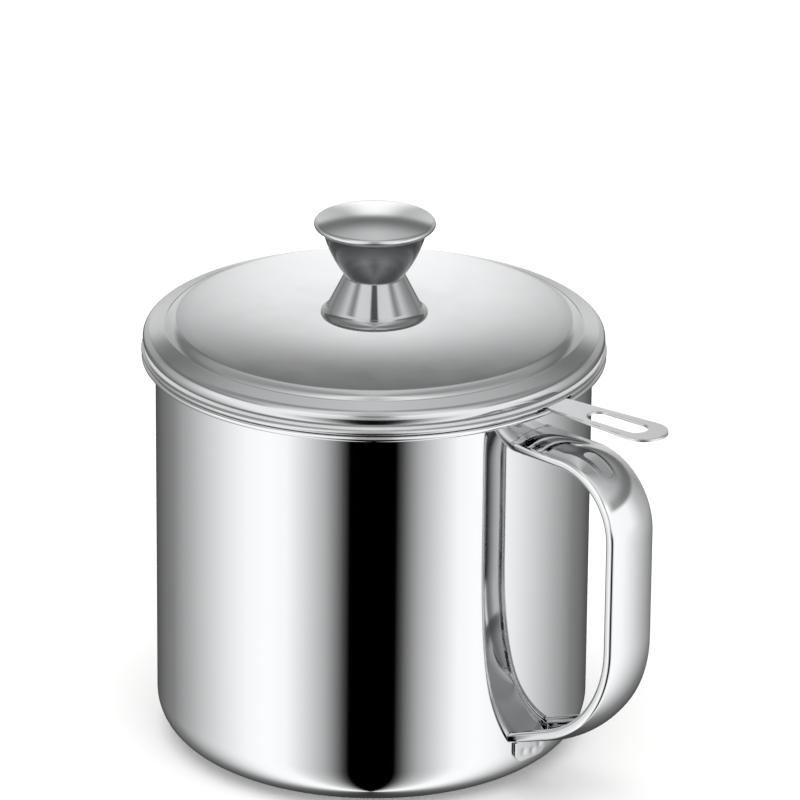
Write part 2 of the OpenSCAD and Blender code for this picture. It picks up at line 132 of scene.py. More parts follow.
def add_node(
    tree: bpy.types.NodeTree,
    kind: str,
    settings: Optional[dict[Any, Any]] = None,
    links: Optional[dict[Any, Any]] = None,
) -> bpy.types.Node:
    """Adds a node with its settings and links.

    Args:
        tree: The tree that the node goes into.
        kind: The node's type name, without its first words "ShaderNode".
        settings: Values by the node's own field, or by an input's name or number.
        links: What feeds an input, by its name or number: an output socket, or a node for
            its first output.

    Returns:
        The new node.
    """
    made = tree.nodes.new("ShaderNode" + kind)
    for key, value in (settings or {}).items():
        if isinstance(key, str) and hasattr(made, key):
            setattr(made, key, value)
        else:
            made.inputs[key].default_value = value
    for key, source in (links or {}).items():
        is_node = isinstance(source, bpy.types.Node)
        tree.links.new(source.outputs[0] if is_node else source, made.inputs[key])
    return made


def set_ramp(ramp: bpy.types.ColorRamp, stops: Pairs) -> None:
    """Sets a grey ramp.

    Args:
        ramp: The ramp of a node.
        stops: Place from 0 to 1 and brightness of each stop, in order.
    """
    while len(ramp.elements) < len(stops):
        ramp.elements.new(1.0)
    for element, (place, value) in zip(ramp.elements, stops):
        element.position = place
        element.color = (value, value, value, 1.0)


@dataclass(frozen=True)
class SteelFinish:
    """One surface of 18/10 stainless steel, by how it was polished.

    The steel itself is the same everywhere, but the finish inside the pot has a lighter tint as
    painted light, and the knob's finishes have darker tints as painted shade.
    What differs besides is the last step on the lathe: a mirror buff leaves a clear reflection,
    and an abrasive pad leaves rings round the axis that smear reflections outwards from it.
    A finish can also darken the trough of each ring, as painted shade.
    """

    name: str
    colour: str             # the steel's tint in sRGB
    roughness: float        # at the middle of its range
    patchiness: float       # how far the roughness strays to either side
    ring_pitch: float       # mm between brushing rings
    ring_depth: float       # mm from a ring's crest to its trough
    ring_length: float      # how many times a ring changes on its way round
    painted_trough_shade: float = 0.0     # how much painted shade darkens a ring's trough, from 0 to 1

    RING_SHARE = 0.65       # how much the rings count beside the clouds
    MIXED = (0.45, 1.2)     # span of the rings and clouds together
    TROUGH = (0.66, 0.42)   # heights where a ring's painted shade starts, and is darkest

    def material(self) -> bpy.types.Material:
        """Returns the finish's material, which is made on the first call."""
        made = bpy.data.materials.get(self.name)
        return made if made else self._build()

    def _build(self) -> bpy.types.Material:
        """Builds the material's nodes."""
        made = bpy.data.materials.new(self.name)
        made.use_nodes = True
        tree = made.node_tree
        tree.nodes.clear()
        place = add_node(tree, "TexCoord").outputs["Object"]
        height = add_node(tree, "SeparateXYZ", {}, {0: place}).outputs["Z"]
        flat = add_node(tree, "VectorMath", {"operation": "MULTIPLY", 1: (1, 1, 0)}, {0: place})
        way = add_node(tree, "VectorMath", {"operation": "NORMALIZE"}, {0: flat})
        radius = add_node(tree, "VectorMath", {"operation": "LENGTH"}, {0: flat}).outputs["Value"]
        # Rings follow the radius and the height, and change slowly on the way round.
        across, upwards = (
            add_node(tree, "Math", {"operation": "MULTIPLY", 1: 1.0 / (self.ring_pitch * MM)},
                     {0: length})
            for length in (radius, height)
        )
        around = add_node(tree, "VectorMath", {"operation": "SCALE", "Scale": self.ring_length},
                          {0: way})
        around = add_node(tree, "SeparateXYZ", {}, {0: around}).outputs
        ring_place = add_node(tree, "CombineXYZ", {},
                              {"X": around["X"], "Y": around["Y"], "Z": across})
        rings = add_node(tree, "TexNoise", {
            "noise_dimensions": "4D", "Scale": 1.0, "Detail": 3.0, "Roughness": 0.62,
        }, {"Vector": ring_place, "W": upwards})
        clouds = add_node(tree, "TexNoise", {"Scale": 1.0 / (CLOUD * MM), "Detail": 2.0},
                          {"Vector": place})
        both = add_node(tree, "Math", {"operation": "MULTIPLY_ADD", 1: self.RING_SHARE},
                        {0: rings, 2: clouds})
        rough = add_node(tree, "MapRange", {
            "From Min": self.MIXED[0], "From Max": self.MIXED[1],
            "To Min": self.roughness - self.patchiness,
            "To Max": self.roughness + self.patchiness,
        }, {"Value": both})
        bump = add_node(tree, "Bump", {"Strength": 1.0, "Distance": self.ring_depth * MM},
                        {"Height": rings})
        tint = linear(self.colour)
        steel = add_node(tree, "BsdfPrincipled", {"Base Color": tint, "Metallic": 1.0},
                         {"Roughness": rough, "Normal": bump})
        # Painted shade: the tint is darkened in the trough of each ring.
        if self.painted_trough_shade:
            trough = add_node(tree, "MapRange", {
                "From Min": self.TROUGH[0], "From Max": self.TROUGH[1],
            }, {"Value": rings})
            shade = add_node(tree, "Mix", {
                "data_type": "RGBA", 6: tint, 7: linear(self.colour, 1 - self.painted_trough_shade),
            }, {0: trough})
            tree.links.new(shade.outputs[2], steel.inputs["Base Color"])
        add_node(tree, "OutputMaterial", {}, {"Surface": steel})
        return made


# Each finish gives its name, tint, roughness, how far that strays, and its rings' pitch,
# depth and changes.

# 18/10 stainless steel, buffed to a mirror: clear reflections and hardly any haze.
MIRROR_STEEL = SteelFinish("stainless_mirror_buffed", "#d6d7d8", 0.055, 0.012, 0.8, 0.0002, 6)
# The same sheet inside, brushed on the lathe: rings that show as faint level arcs, each darkened
# in its trough as painted shade. Its tint is lighter than the outside's, as painted light on the
# shaded inside. Real lines are about 0.1 mm apart, and 1.8 mm is what the render can show.
BRUSHED_INSIDE = SteelFinish(
    "stainless_brushed_inside", "#eaeaea", 0.45, 0.10, 1.8, 0.10, 2.0, 0.5)
# The lid and the knob's cap, polished on the lathe: light slides off them in soft steps.
LID_STEEL = SteelFinish("stainless_polished_turned", "#d4d5d6", 0.14, 0.02, 0.35, 0.0012, 7)
# The strainer's pan, satin: a fine pad on the lathe, so reflections have wide, soft edges.
SATIN_STEEL = SteelFinish("stainless_satin_turned", "#d2d3d4", 0.32, 0.04, 0.35, 0.0025, 7)
# Rolled edges, buffed on a wheel, so that a thin bright line runs along each roll.
EDGE_STEEL = SteelFinish("stainless_edge_buffed", "#c8c9ca", 0.17, 0.02, 0.5, 0.0006, 6)
# Perforated sheet, bright rolled before it is punched.
SIEVE_STEEL = SteelFinish("stainless_perforated_bright", "#cccdce", 0.13, 0.03, 0.6, 0.001, 5)
# The knob's lower shell, polished: a stripe between two clear lamps. Its tint is darker than the
# rest of the steel, as painted shade.
KNOB_STEEL = SteelFinish("stainless_knob_polished", "#a9aaab", 0.09, 0.02, 0.4, 0.0006, 8)
# Its upper shell, satin, so that the lid below is only a soft shape in it. Its still darker tint
# is painted shade.
BOWL_STEEL = SteelFinish("stainless_knob_satin", "#97989a", 0.19, 0.02, 0.4, 0.0005, 8)
# Machined screw, washer and insert: bright with fine turning marks.
FASTENER_STEEL = SteelFinish("stainless_turned_bright", "#b9babb", 0.2, 0.04, 0.25, 0.002, 9)


# --- Sheet metal ----------------------------------------------------------------------


class FaceLine:
    """One face of a sheet seen edge on, drawn in the XZ plane with lines and arcs."""

    def __init__(self, x: float, z: float) -> None:
        """Starts the line at a point in mm."""
        self.mesh: Mesh = bmesh.new()
        self.tip = self.mesh.verts.new((x * MM, 0.0, z * MM))

    def _step(self, place: Vector) -> None:
        """Draws one straight step to a place in metres."""
        grown = bmesh.ops.extrude_vert_indiv(self.mesh, verts=[self.tip])
        self.tip = grown["verts"][0]
        self.tip.co = place

    def to(self, x: float, z: float) -> "FaceLine":
        """Draws a straight line, with a supporting point near each end of a long one.

        Args:
            x: Radius of its end in mm.
            z: Height of its end in mm.

        Returns:
            The line itself.
        """
        start, end = self.tip.co.copy(), Vector((x, 0.0, z)) * MM
        way = end - start
        if way.length > 4 * SUPPORT * MM:
            inset = way.normalized() * SUPPORT * MM
            self._step(start + inset)
            self._step(end - inset)
        self._step(end)
        return self

    def turn(self, x: float, z: float, degrees: float, step: float = ARC_STEP) -> "FaceLine":
        """Draws an arc.

        Args:
            x: Radius of the arc's centre in mm.
            z: Height of the arc's centre in mm.
            degrees: How far it turns, to the left where positive.
            step: Degrees between its points.

        Returns:
            The line itself.
        """
        grown = bmesh.ops.spin(
            self.mesh, geom=[self.tip], cent=(x * MM, 0.0, z * MM), axis=(0.0, -1.0, 0.0),
            angle=math.radians(degrees), steps=max(2, math.ceil(abs(degrees) / step)),
            use_merge=False, use_duplicate=False,
        )
        self.tip = only(Vert, grown["geom_last"])[0]
        return self

    def bow(self, x: float, z: float, height: float, step: float = ARC_STEP) -> "FaceLine":
        """Draws a shallow arc to a point.

        Args:
            x: Radius of its end in mm.
            z: Height of its end in mm.
            height: How far it bows to the right of the way, or to the left where negative.
            step: Degrees between its points.

        Returns:
            The line itself.
        """
        start = self.tip.co / MM
        way = Vector((x, 0.0, z)) - start
        half = way.length / 2
        radius = (half * half + height * height) / (2 * abs(height))
        side = math.copysign(1.0, height)
        right = Vector((way.z, 0.0, -way.x)).normalized() * side
        centre = start + way / 2 - right * (radius - abs(height))
        degrees = 2 * math.degrees(math.asin(half / radius)) * side
        return self.turn(centre.x, centre.z, degrees, step)


def face_out(mesh: Mesh) -> Mesh:
    """Turns a closed mesh right side out, by the sign of its volume."""
    if mesh.calc_volume(signed=True) < 0:
        bmesh.ops.reverse_faces(mesh, faces=mesh.faces[:])
    return mesh


def look_along(mesh: Mesh, way: Vector) -> Mesh:
    """Makes an open sheet's faces agree, and turns them so that most of them look one way.

    Args:
        mesh: The open sheet.
        way: The way that they look.

    Returns:
        The sheet itself.
    """
    bmesh.ops.recalc_face_normals(mesh, faces=mesh.faces[:])
    if sum(f.normal.dot(way) * f.calc_area() for f in mesh.faces) < 0:
        bmesh.ops.reverse_faces(mesh, faces=mesh.faces[:])
    return mesh


def thicken(mesh: Mesh, wall: float, soften: float) -> Mesh:
    """Gives a surface a sheet's thickness behind its faces, and softens the cut edges.

    Args:
        mesh: The surface, with its faces pointing away from the sheet.
        wall: Thickness in mm.
        soften: Radius of the cut edges in mm.

    Returns:
        The closed sheet.
    """
    mesh.normal_update()
    bmesh.ops.solidify(mesh, geom=mesh.faces[:], thickness=wall * MM)
    face_out(mesh)
    if soften:
        cut = [e for e in mesh.edges if e.calc_face_angle(0.0) > math.radians(CUT_ANGLE)]
        bmesh.ops.bevel(mesh, geom=cut, offset=soften * MM, offset_type="OFFSET", segments=2,
                        profile=0.5, affect="EDGES", material=-1, clamp_overlap=True)
    return mesh


def spin_round(mesh: Mesh, steps: int = ROUND_STEPS) -> None:
    """Spins a line once round the Z axis, so that its faces agree."""
    bmesh.ops.spin(mesh, geom=mesh.verts[:] + mesh.edges[:], cent=(0, 0, 0), axis=(0, 0, 1),
                   angle=math.tau, steps=steps, use_merge=True, use_duplicate=False)
    bmesh.ops.remove_doubles(mesh, verts=mesh.verts[:], dist=WELD)
    bmesh.ops.recalc_face_normals(mesh, faces=mesh.faces[:])


def turned(
    line: FaceLine, wall: float, steps: int = ROUND_STEPS, soften: float = SOFT_CUT
) -> Mesh:
    """Spins a face line about the Z axis into turned sheet.

    Args:
        line: The face line.
        wall: Thickness in mm, to the left of the line's way, or to the right where negative.
        steps: Faces round the piece.
        soften: Radius of the sheet's cut edges in mm.

    Returns:
        The closed sheet.
    """
    mesh = line.mesh
    mesh.edges.ensure_lookup_table()
    longest = max(mesh.edges, key=lambda e: e.calc_length())
    # An edge runs from its older vertex, because every step grows from the tip.
    mesh.verts.index_update()
    first, last = sorted(longest.verts, key=lambda v: v.index)
    way, middle = last.co - first.co, (last.co + first.co) / 2
    right = Vector((way.z, 0.0, -way.x)).normalized() * math.copysign(1.0, wall)
    spin_round(mesh, steps)
    nearest = min(mesh.faces, key=lambda f: (f.calc_center_median() - middle).length_squared)
    if nearest.normal.dot(right) < 0:
        bmesh.ops.reverse_faces(mesh, faces=mesh.faces[:])
    return thicken(mesh, abs(wall), soften)


def grid_cut(mesh: Mesh, size: float) -> None:
    """Cuts a flat plate in the XZ plane into a grid, so that it can be bent.

    Args:
        mesh: The plate.
        size: Distance between the cuts in mm.
    """
    for axis in (0, 2):
        low = min(v.co[axis] for v in mesh.verts)
        high = max(v.co[axis] for v in mesh.verts)
        count = max(1, round((high - low) / (size * MM)))
        normal = Vector([float(i == axis) for i in range(3)])
        for i in range(1, count):
            bmesh.ops.bisect_plane(
                mesh, geom=mesh.verts[:] + mesh.edges[:] + mesh.faces[:], dist=ON_PLANE,
                plane_co=normal * (low + (high - low) * i / count), plane_no=normal,
            )


def place_piece(
    name: str,
    mesh: Mesh,
    body: Body,
    finishes: Sequence[SteelFinish],
    replaces: Sequence[str] = (),
    finish_of: Optional[Callable[[Vector, Vector], int]] = None,
) -> bpy.types.Object:
    """Makes a piece of the container from its mesh.

    Args:
        name: The piece's name.
        mesh: Its finished mesh, in place, which is freed.
        body: The loose piece that it moves with.
        finishes: The finishes that it uses.
        replaces: CAD nodes that it stands for.
        finish_of: Gives the number of a face's finish from its centre in mm and its normal.

    Returns:
        The piece's object.
    """
    if finish_of:
        for face in mesh.faces:
            face.material_index = finish_of(face.calc_center_median() / MM, face.normal)
    made = add_mesh(name, mesh)
    data = made.data
    data.polygons.foreach_set("use_smooth", [True] * len(data.polygons))
    data.set_sharp_from_angle(angle=math.radians(SHARP_ANGLE))
    for finish in finishes:
        data.materials.append(finish.material())
    # The pieces under the lid mirror the room and not the lid, as if each were shot alone.
    made.visible_glossy = body is not Body.LID
    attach(made, body.value)
    if replaces:
        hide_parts(*replaces)
    LOG.info("%s: %d faces on %s", name, len(data.polygons), body.value)
    return made


def cut_away(piece: bpy.types.Object, cutter: Mesh) -> None:
    """Cuts a shape out of a piece for good.

    Args:
        piece: The piece that is cut.
        cutter: The shape's closed mesh, which is freed.
    """
    tool = add_mesh("cutter", cutter)
    step = piece.modifiers.new("cut", "BOOLEAN")
    step.operation, step.object, step.solver = "DIFFERENCE", tool, "EXACT"
    seen = piece.evaluated_get(bpy.context.evaluated_depsgraph_get())
    result = bpy.data.meshes.new_from_object(seen)
    piece.modifiers.clear()
    old, piece.data = piece.data, result
    name = old.name
    bpy.data.meshes.remove(old)
    result.name = name
    bpy.data.meshes.remove(tool.data)       # its object goes with it
    result.set_sharp_from_angle(angle=math.radians(SHARP_ANGLE))


# --- Pot ------------------------------------------------------------------------------


@dataclass
class Pot:
    """The deep-drawn pot: flat bottom, round corner, straight wall and a flared, hemmed rim."""

    radius: float = 70.0
    height: float = 130.7
    wall: float = 0.6
    corner: float = 13.8
    rim_reach: float = 4.4
    hem_height: float = 2.0
    rim_slope: float = 14.0
    rim_bend: float = 1.6
    hem_end: float = -100.0     # degrees from level where the hem's roll ends
    inside_tilt: float = 0.3    # height of its normal past which a face is on the inside

    @property
    def rim_radius(self) -> float:
        """Radius of the rim's outer edge."""
        return self.radius + self.rim_reach

    def build(self) -> None:
        """Builds the pot's body."""
        rise, run = sin_cos(self.rim_slope)
        hem = self.hem_height / 2 - self.wall
        hem_x, hem_z = self.rim_radius - self.hem_height / 2, self.height - self.hem_height / 2
        in_x, in_z = hem_x - hem * rise, hem_z + hem * run
        bend_x = self.radius + self.rim_bend
        end_x = bend_x - self.rim_bend * rise
        bend_z = in_z - (in_x - end_x) * rise / run - self.rim_bend * run
        line = FaceLine(0, 0).to(self.radius - self.corner, 0)
        line.turn(self.radius - self.corner, self.corner, 90, step=5)
        line.to(self.radius, bend_z).turn(bend_x, bend_z, self.rim_slope - 90)
        line.to(in_x, in_z)
        line.turn(hem_x, hem_z, self.hem_end - (90 + self.rim_slope), step=10)
        inner = self.radius - self.wall / 2
        # The inside faces take the brushed finish, whose lighter tint is painted light.
        place_piece(
            "pot_shell", turned(line, self.wall), Body.POT,
            [MIRROR_STEEL, BRUSHED_INSIDE], ["pot_body"],
            lambda centre, normal: int(
                centre.xy.length < inner and centre.z > self.wall / 2
                and (normal.z > self.inside_tilt or normal.xy.dot(centre.xy) < 0)
            ),
        )


# --- Handle ---------------------------------------------------------------------------


@dataclass
class StrapHandle:
    """One strap with a crowned back and curled edges, bent to a D and welded to the wall."""

    pot: Pot
    reach: float = 43.7
    width: float = 19.6
    depth: float = 5.0
    sheet: float = 1.0
    curl: float = 1.4
    crown_angle: float = 20.0
    top_z: float = 123.1
    top_bend: float = 24.8
    foot_z: float = 16.0
    low_bend: float = 42.8
    low_slope: float = 21.0
    cut_edge: float = 0.2
    bend_step: float = 2.5      # degrees between the sections round a bend
    tab_width: float = 14.4
    top_tab: float = 7.0
    low_tab: float = 6.0
    tab_gap: float = 0.02       # mm between a tab and the wall, so that no two faces are one
    tab_grid: float = 0.6       # mm between the cuts that let a tab bend
    dent: float = 0.35          # mm deep, one at each weld
    dent_area: float = 0.9      # mm2 that a dent spreads over
    top_welds: Pairs = ((-3, 3), (3, 3))
    low_welds: Pairs = ((-3.4, 3.2), (0.6, 2.4), (4, 3.6))

    def _section(self) -> FaceLine:
        """Draws the strap's outer face across it, from curl to curl, about its crown."""
        half = self.width / 2 - self.curl
        across, up = sin_cos(self.crown_angle)
        crown = self.curl + half / across
        shoulder = -crown + (crown - self.curl) * up
        curl_z = -self.depth + self.curl
        side = 90 - self.crown_angle
        line = FaceLine(half - self.curl / 2, -self.depth).to(half, -self.depth)
        line.turn(half, curl_z, 90, step=15).to(half + self.curl, shoulder)
        line.turn(half, shoulder, side, step=12).turn(0, -crown, 2 * self.crown_angle, step=2)
        line.turn(-half, shoulder, side, step=12).to(-half - self.curl, curl_z)
        line.turn(-half, curl_z, 90, step=15).to(-half + self.curl / 2, -self.depth)
        return line

    def _extrude(self, mesh: Mesh, edges: list[Edge]) -> tuple[list[Vert], list[Edge]]:
        """Copies the last section where it is, and joins the copy to it.

        Args:
            mesh: The strap so far.
            edges: The edges of its last section.

        Returns:
            The points and the edges of the new last section.
        """
        grown = bmesh.ops.extrude_edge_only(mesh, edges=edges)["geom"]
        points = only(Vert, grown)
        return points, [e for e in only(Edge, grown) if all(v in points for v in e.verts)]

    def _advance(self, mesh: Mesh, edges: list[Edge], way: Vector) -> list[Edge]:
        """Sweeps the last section straight on.

        Args:
            mesh: The strap so far.
            edges: The edges of its last section.
            way: How far it goes, in mm.

        Returns:
            The edges of the new last section.
        """
        hold = way.normalized() * SUPPORT
        for step in (hold, way - 2 * hold, hold):
            points, edges = self._extrude(mesh, edges)
            bmesh.ops.translate(mesh, verts=points, vec=step * MM)
        return edges

    def _bend(
        self, mesh: Mesh, edges: list[Edge], centre: tuple[float, float], degrees: float
    ) -> list[Edge]:
        """Sweeps the last section round a bend.

        Args:
            mesh: The strap so far.
            edges: The edges of its last section.
            centre: X and Z of the bend's centre in mm.
            degrees: How far it turns downwards.

        Returns:
            The edges of the new last section.
        """
        points = list({v for e in edges for v in e.verts})
        grown = bmesh.ops.spin(
            mesh, geom=points + edges, cent=(centre[0] * MM, 0, centre[1] * MM), axis=(0, 1, 0),
            angle=math.radians(degrees), steps=math.ceil(degrees / self.bend_step),
            use_merge=False, use_duplicate=False,
        )
        return only(Edge, grown["geom_last"])

    def _strap(self) -> Mesh:
        """Sweeps the strap from the wall, round both bends and back to the wall."""
        pot_r, x_out = self.pot.radius, self.pot.radius + self.reach
        sine, cosine = sin_cos(self.low_slope)
        mesh = self._section().mesh
        to_start = Matrix.Translation((pot_r * MM, 0, self.top_z * MM))
        bmesh.ops.transform(mesh, verts=mesh.verts[:],
                            matrix=to_start @ Matrix.Rotation(math.pi / 2, 4, "Z"))
        first, edges = mesh.verts[:], mesh.edges[:]
        top_c = (x_out - self.top_bend, self.top_z - self.top_bend)
        rise = (self.reach * sine + self.low_bend * (1 - sine)) / cosine
        # The low bend's height is a whole number of hundredths, as it is in the CAD part.
        low_c = (x_out - self.low_bend, self.foot_z + round(100 * rise) / 100)
        run = (low_c[0] + self.low_bend * sine - pot_r) / cosine
        back = Vector((-cosine, 0, -sine))
        edges = self._advance(mesh, edges, Vector((top_c[0] - pot_r, 0, 0)))
        edges = self._bend(mesh, edges, top_c, 90)
        edges = self._advance(mesh, edges, Vector((0, 0, low_c[1] - top_c[1])))
        edges = self._bend(mesh, edges, low_c, 90 - self.low_slope)
        edges = self._advance(mesh, edges, back * (run - self.depth))
        # The last stretch has no supporting sections, which the slanted cut would cross.
        last, _ = self._extrude(mesh, edges)
        # Both ends are cut to the wall's curve, along the way of the strap.
        for point in first:
            point.co.x = math.sqrt((pot_r * MM) ** 2 - point.co.y ** 2)
        for point in last:
            wanted = math.sqrt((pot_r * MM) ** 2 - point.co.y ** 2)
            point.co += back * ((point.co.x - wanted) / cosine)
        bmesh.ops.remove_doubles(mesh, verts=mesh.verts[:], dist=WELD)
        return thicken(look_along(mesh, Vector((1, 0, 0))), self.sheet, self.cut_edge)

    def _weld_tab(self, top: float, height: float, welds: Pairs) -> Mesh:
        """Builds a plate that hugs the wall, with round lower corners and weld dents.

        Args:
            top: Height of its upper edge in mm.
            height: How high it is in mm.
            welds: Place across the plate and height above its lower edge of each dent.

        Returns:
            The plate.
        """
        half, corner = self.tab_width / 2, self.tab_width / 4
        line = FaceLine(-half, height).to(-half, corner)
        line.turn(-half + corner, corner, 90, step=10).to(half - corner, 0)
        line.turn(half - corner, corner, 90, step=10).to(half, height)
        mesh = line.mesh
        bmesh.ops.contextual_create(mesh, geom=mesh.edges[:] + [line.tip])
        grid_cut(mesh, self.tab_grid)
        outer = self.pot.radius + self.sheet
        for point in mesh.verts:
            across, up = point.co.x / MM, point.co.z / MM
            out = outer - sum(
                self.dent * math.exp(-((across - x) ** 2 + (up - z) ** 2) / self.dent_area)
                for x, z in welds
            )
            point.co = Vector((math.sqrt(out ** 2 - across ** 2), across, top - height + up)) * MM
        look_along(mesh, Vector((1, 0, 0)))
        return thicken(mesh, self.sheet - self.tab_gap, self.cut_edge)

    def build(self) -> None:
        """Builds the strap and its two weld tabs."""
        place_piece("handle_strap", self._strap(), Body.POT, [MIRROR_STEEL],
                    ["pot_handle"])
        top = self._weld_tab(self.top_z - self.sheet / 2, self.top_tab, self.top_welds)
        place_piece("handle_top_tab", top, Body.POT, [EDGE_STEEL])
        low = self._weld_tab(self.foot_z + self.sheet, self.low_tab + self.sheet, self.low_welds)
        place_piece("handle_low_tab", low, Body.POT, [EDGE_STEEL])


# --- Strainer -------------------------------------------------------------------------


@dataclass
class Pan:
    """The strainer's pan: a drawn bowl with a flat flange, hemmed under along its edge."""

    radius: float = 67.9
    wall: float = 0.6
    flange_top: float = 132.6
    flange_radius: float = 74.5
    hem_height: float = 1.7
    flange_bend: float = 1.0
    knuckle: float = 10.0       # radius of the bend at the wall's foot
    knuckle_z: float = 119.6
    floor_z: float = 105.6
    break_angle: float = 55.0   # degrees that the dished floor rises before that bend
    open_radius: float = 47.4
    edge_margin: float = 0.3    # mm inside the hem where its own finish starts
    tab_angle: float = 3.7
    notch: float = 16.8         # how wide the hem's opening for the tab is
    notch_margin: float = 0.3   # mm from the wall to the opening
    notch_gap: float = 0.01     # mm from the flange's underside to the opening
    notch_height: float = 2.0

    def build(self) -> None:
        """Builds the pan and cuts its hem for the tab."""
        under = self.flange_top - self.wall
        sine, cosine = sin_cos(self.break_angle)
        dish = (self.knuckle_z - self.knuckle * cosine - self.floor_z) / (1 - cosine)
        flat = self.radius - self.knuckle * (1 - sine) - dish * sine
        hem = self.hem_height / 2 - self.wall
        hem_x = self.flange_radius - self.hem_height / 2
        hem_z = self.flange_top - self.hem_height / 2
        line = FaceLine(self.open_radius, self.floor_z).to(flat, self.floor_z)
        line.turn(flat, self.floor_z + dish, self.break_angle, step=4)
        line.turn(self.radius - self.knuckle, self.knuckle_z, 90 - self.break_angle, step=4)
        line.to(self.radius, under - self.flange_bend)
        line.turn(self.radius + self.flange_bend, under - self.flange_bend, -90, step=10)
        line.to(hem_x, under).turn(hem_x, hem_z, -180, step=12)
        line.to(hem_x - self.hem_height / 2, hem_z - hem)
        pan = place_piece("strainer_pan", turned(line, self.wall), Body.STRAINER,
                          [SATIN_STEEL, EDGE_STEEL, LID_STEEL], ["strainer_bowl"],
                          lambda centre, normal: (
                              1 if centre.xy.length > hem_x - self.edge_margin
                              else 2 if normal.z > FACING_UP and centre.z > under else 0
                          ))
        cutter = bmesh.new()
        depth = 2 * (self.flange_radius - self.radius)
        middle = Vector((self.radius + self.notch_margin + depth / 2, 0,
                         under - self.notch_gap - self.notch_height / 2))
        bmesh.ops.create_cube(cutter, size=1.0, matrix=(
            Matrix.Rotation(math.radians(self.tab_angle), 4, "Z")
            @ Matrix.Translation(middle * MM)
            @ Matrix.Diagonal(Vector((depth, self.notch, self.notch_height)) * MM).to_4x4()
        ))
        cut_away(pan, cutter)


@dataclass
class Sieve:
    """The perforated disc in the pan's floor, and the bright ring that clamps it."""

    pan: Pan
    thickness: float = 0.5
    lip: float = 2.6
    clamp_height: float = 1.2
    hole: float = 1.05
    pitch: float = 1.75
    first_ring: int = 5
    last_ring: int = 22
    slack: float = 1e-6         # radians, so that rounding leaves a corner in its own sixth

    @property
    def seat(self) -> float:
        """Height of the disc's underside."""
        return self.pan.floor_z + self.pan.wall

    def _disc(self) -> Mesh:
        """Punches the disc: six times as many holes in each ring as its number."""
        rings = self.last_ring + 2
        mesh = bmesh.new()
        bmesh.ops.create_circle(
            mesh, cap_ends=True, cap_tris=True, segments=6, radius=rings * self.pitch * MM,
            matrix=Matrix.Translation((0, 0, (self.seat + self.thickness) * MM)),
        )
        bmesh.ops.subdivide_edges(mesh, edges=mesh.edges[:], cuts=rings - 1, use_grid_fill=True)
        bmesh.ops.triangulate(mesh, faces=[f for f in mesh.faces if len(f.verts) > 3])
        # Each six-sided ring of the lattice is drawn out to a circle of evenly spaced points.
        holes = []
        sixth = math.radians(60)
        for point in mesh.verts:
            reach = point.co.xy.length
            if reach < WELD:
                continue
            around = (math.atan2(point.co.y, point.co.x) - sixth / 2) % math.tau
            corner, past = divmod(around + self.slack, sixth)
            side = reach * math.cos(past - sixth / 2) / math.cos(sixth / 2)
            share = reach * math.sin(past) / (side * math.sin(sixth))
            ring = round(side / (self.pitch * MM))
            radius = ring * self.pitch if ring < rings else self.pan.open_radius + self.lip
            point.co.xy = Matrix.Rotation(sixth * (corner + share), 2) @ Vector((radius * MM, 0))
            if self.first_ring <= ring <= self.last_ring:
                holes.append(point)
        made = bmesh.ops.bevel(mesh, geom=holes, offset=self.hole / 2 * MM, offset_type="OFFSET",
                               segments=1, profile=0.5, affect="VERTICES", material=-1)["faces"]
        bmesh.ops.bisect_edges(mesh, edges=list({e for f in made for e in f.edges}), cuts=1)
        for face in made:
            middle = face.calc_center_median()
            for point in face.verts:
                point.co = middle + (point.co - middle).normalized() * self.hole / 2 * MM
        bmesh.ops.delete(mesh, geom=made, context="FACES")
        return thicken(look_along(mesh, Vector((0, 0, 1))), self.thickness, 0)

    def build(self) -> None:
        """Builds the disc and its clamp ring."""
        place_piece("sieve_mesh", self._disc(), Body.STRAINER, [SIEVE_STEEL],
                    ["sieve_disc"])
        inner, outer = self.pan.open_radius, self.pan.open_radius + self.lip
        low = self.seat + self.thickness
        high, soft = low + self.clamp_height, self.clamp_height / 3
        line = FaceLine(outer, low).to(outer, high - soft)
        line.turn(outer - soft, high - soft, 90, step=15).to(inner + soft, high)
        line.turn(inner + soft, high - soft, 90, step=15).to(inner, low).to(outer, low)
        spin_round(line.mesh)
        place_piece("sieve_ring", face_out(line.mesh), Body.STRAINER, [EDGE_STEEL],
                    ["sieve_clamp_ring"])


